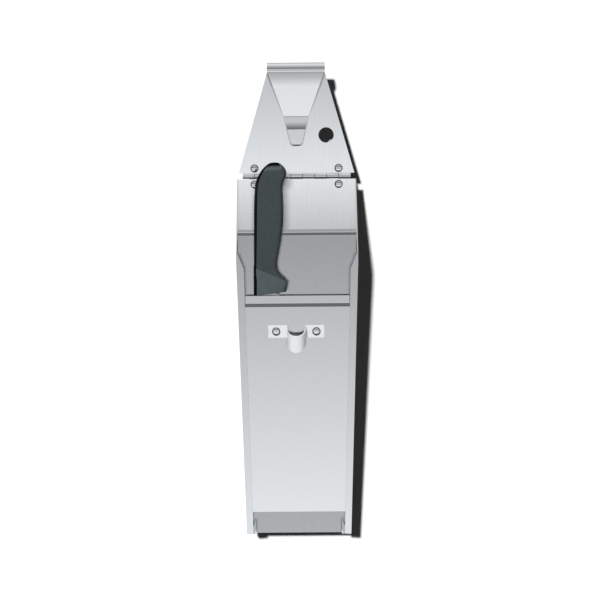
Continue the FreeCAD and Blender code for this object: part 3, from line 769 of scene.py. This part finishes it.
class SCABBARD_OT_model_grip(bpy.types.Operator):
    """The knife's moulded grip with its guard collar"""

    bl_idname = "scabbard.model_grip"
    bl_label = "Model the grip"

    def execute(self, context):
        settings = context.scene.scabbard_grip
        plastic = grip_plastic("Grip plastic", settings.colour)
        # Painted light: the collar gets the grip plastic made paler.
        painted_light_colour = [part * COLLAR_PAINTED_LIGHT for part in settings.colour]
        pale = grip_plastic("Collar plastic", painted_light_colour)
        shape = (settings.ridge, settings.steepness)
        grip = stack_sections("handle_grip", GRIP_SECTIONS, *shape)
        foot = Vector((GRIP_LOW.x, GRIP_MIDDLE, GRIP_LOW.z))
        below = Vector((math.sin(FOOT_SLOPE), 0, -math.cos(FOOT_SLOPE)))
        cut_away(grip, foot, below)
        crease_ridges(grip)
        levels = settings.smoothing
        apply_modifier(grip, "SUBSURF", levels=levels, render_levels=levels)
        collar = stack_sections("handle_collar", COLLAR_SECTIONS, *shape)
        cut_away(collar, foot, below)
        top = foot + Vector((0, 0, COLLAR_HEIGHT))
        above = Vector((-math.sin(COLLAR_SLOPE), 0, math.cos(COLLAR_SLOPE)))
        cut_away(collar, top, above)
        apply_modifier(collar, "BEVEL", width=0.7 * MM, segments=3, limit_method="ANGLE")
        for piece in (grip, collar):
            face_outwards(piece)
            lean_with_knife(piece)
            only(piece)
            bpy.ops.object.shade_smooth_by_angle(angle=math.radians(35))
            piece.data.materials.append(plastic if piece is grip else pale)
            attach(piece, "knife")
        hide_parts("knife_handle")
        return {"FINISHED"}


# ---------------------------------------------------------------- studio


def add_camera(settings):
    reach = settings.camera_distance
    data = bpy.data.cameras.new("Camera")
    data.lens_unit = "FOV"
    data.angle = 2 * math.atan(settings.view_width / 2 / reach)
    camera = bpy.data.objects.new("Camera", data)
    bpy.context.scene.collection.objects.link(camera)
    middle = (CAD_LOW.z + CAD_HIGH.z) / 2
    camera.location = (2.5 * MM, PLATE_FRONT - reach, middle - 1.9 * MM)
    camera.rotation_euler = (math.radians(90), settings.camera_roll, 0)
    bpy.context.scene.camera = camera


def add_sun(name, direction, strength, softness):
    """A sun that shines along a direction and isn't mirrored in the steel."""
    data = bpy.data.lights.new(name, "SUN")
    data.energy = strength
    data.angle = softness
    sun = bpy.data.objects.new(name, data)
    bpy.context.scene.collection.objects.link(sun)
    sun.rotation_euler = Vector(direction).to_track_quat("-Z", "Y").to_euler()
    sun.visible_glossy = False


def backdrop_material():
    """A matt white that is seen from its front only."""
    material, nodes, shader = new_material("Backdrop white")
    shader.inputs["Roughness"].default_value = 1.0
    shader.inputs["Specular IOR Level"].default_value = 0.0
    shader.inputs["Base Color"].default_value = (0.82, 0.82, 0.82, 1)
    clear = nodes.add("BsdfTransparent")
    behind = nodes.add("NewGeometry").outputs["Backfacing"]
    blend = nodes.add("MixShader", n0=behind, n1=shader.outputs[0], n2=clear.outputs[0])
    output = next(node for node in nodes.tree.nodes if node.type == "OUTPUT_MATERIAL")
    nodes.tree.links.new(blend.outputs[0], output.inputs["Surface"])
    return material


def add_backdrop(name, size, location, turn, material):
    bpy.ops.object.select_all(action="DESELECT")
    bpy.ops.mesh.primitive_plane_add(size=size, location=location, rotation=turn)
    board = named(name)
    settle(board)
    board.data.materials.append(material)
    board.visible_glossy = False
    board.visible_diffuse = False
    board.visible_shadow = False
    return board


def build_world(settings):
    """White to the camera, a soft studio to polished steel, and almost dark to dull surfaces."""
    world = bpy.data.worlds.new("Studio")
    bpy.context.scene.world = world
    world.use_nodes = True
    world.node_tree.nodes.clear()
    world.cycles.sampling_method = "NONE"
    nodes = Tree(world.node_tree)
    way = nodes.add("SeparateXYZ", Vector=nodes.add("TexCoord").outputs["Generated"]).outputs
    rise = nodes.math("DIVIDE", nodes.math("ARCSINE", way["Z"]), math.pi)
    rise = nodes.math("ADD", rise, 0.5)
    stops = [((angle + 90) / 180, light_of(shade)) for angle, shade in STUDIO_SHADES]
    studio = nodes.scaled(nodes.ramp(rise, stops), STUDIO_GAIN)
    path = nodes.add("LightPath").outputs
    dim = (settings.fill,) * 3 + (1,)
    straight = nodes.math("LESS_THAN", path["Diffuse Depth"], 0.5)
    shown = nodes.mix(nodes.math("MULTIPLY", path["Is Glossy Ray"], straight), dim, studio)
    shown = nodes.mix(path["Is Camera Ray"], shown, (1, 1, 1, 1))
    background = nodes.add("Background", Color=shown, Strength=1.0)
    nodes.add("OutputWorld", Surface=background.outputs[0])


class SCABBARD_OT_set_stage(bpy.types.Operator):
    """The camera, the lights, the wall and the floor"""

    bl_idname = "scabbard.set_stage"
    bl_label = "Set the stage"

    def execute(self, context):
        settings = context.scene.scabbard_studio
        context.scene.view_settings.view_transform = "Standard"
        add_camera(settings)
        build_world(settings)
        white = backdrop_material()
        floor_z = -settings.floor_drop
        wall_y = PLATE_FRONT + settings.wall_gap
        wall_size = 3.0
        wall_place = (0, wall_y, floor_z + wall_size / 2)
        add_backdrop("wall", wall_size, wall_place, (math.radians(90), 0, 0), white)
        floor = add_backdrop("floor", 6.0, (0, 0, floor_z), (0, 0, 0), white)
        floor.visible_shadow = True
        add_sun("key", (0.27, 1, -0.28), settings.sun_strength, settings.sun_softness)
        add_sun("top", (0, 0, -1), 1.6, math.radians(4))
        add_sun("back", (-0.4, -1, -0.5), 2.0, math.radians(10))
        return {"FINISHED"}


class SCABBARD_PT_panel(bpy.types.Panel):
    """The scabbard's pieces and stage"""

    bl_idname = "SCABBARD_PT_panel"
    bl_label = "Belt scabbard"
    bl_space_type = "VIEW_3D"
    bl_region_type = "UI"
    bl_category = "Scabbard"

    def draw(self, context):
        scene = context.scene
        for group, names in (
            (scene.scabbard_steel, SteelSettings.__annotations__),
            (scene.scabbard_grip, GripSettings.__annotations__),
            (scene.scabbard_studio, StudioSettings.__annotations__),
        ):
            box = self.layout.box()
            for name in names:
                box.prop(group, name)
        for step in STEPS:
            self.layout.operator(step.bl_idname)


STEPS = (
    SCABBARD_OT_finish_sheets,
    SCABBARD_OT_finish_fittings,
    SCABBARD_OT_model_hinge_seams,
    SCABBARD_OT_model_rivets,
    SCABBARD_OT_model_grip,
    SCABBARD_OT_set_stage,
)
SETTINGS = {
    "scabbard_steel": SteelSettings,
    "scabbard_grip": GripSettings,
    "scabbard_studio": StudioSettings,
}


def register():
    for group in SETTINGS.values():
        bpy.utils.register_class(group)
    for name, group in SETTINGS.items():
        setattr(bpy.types.Scene, name, PointerProperty(type=group))
    for kind in (*STEPS, SCABBARD_PT_panel):
        bpy.utils.register_class(kind)


def unregister():
    for kind in reversed((*STEPS, SCABBARD_PT_panel)):
        bpy.utils.unregister_class(kind)
    for name in SETTINGS:
        delattr(bpy.types.Scene, name)
    for group in reversed(SETTINGS.values()):
        bpy.utils.unregister_class(group)


def main():
    register()
    for step in STEPS:
        area, name = step.bl_idname.split(".")
        getattr(getattr(bpy.ops, area), name)()


if __name__ == "__main__":
    main()
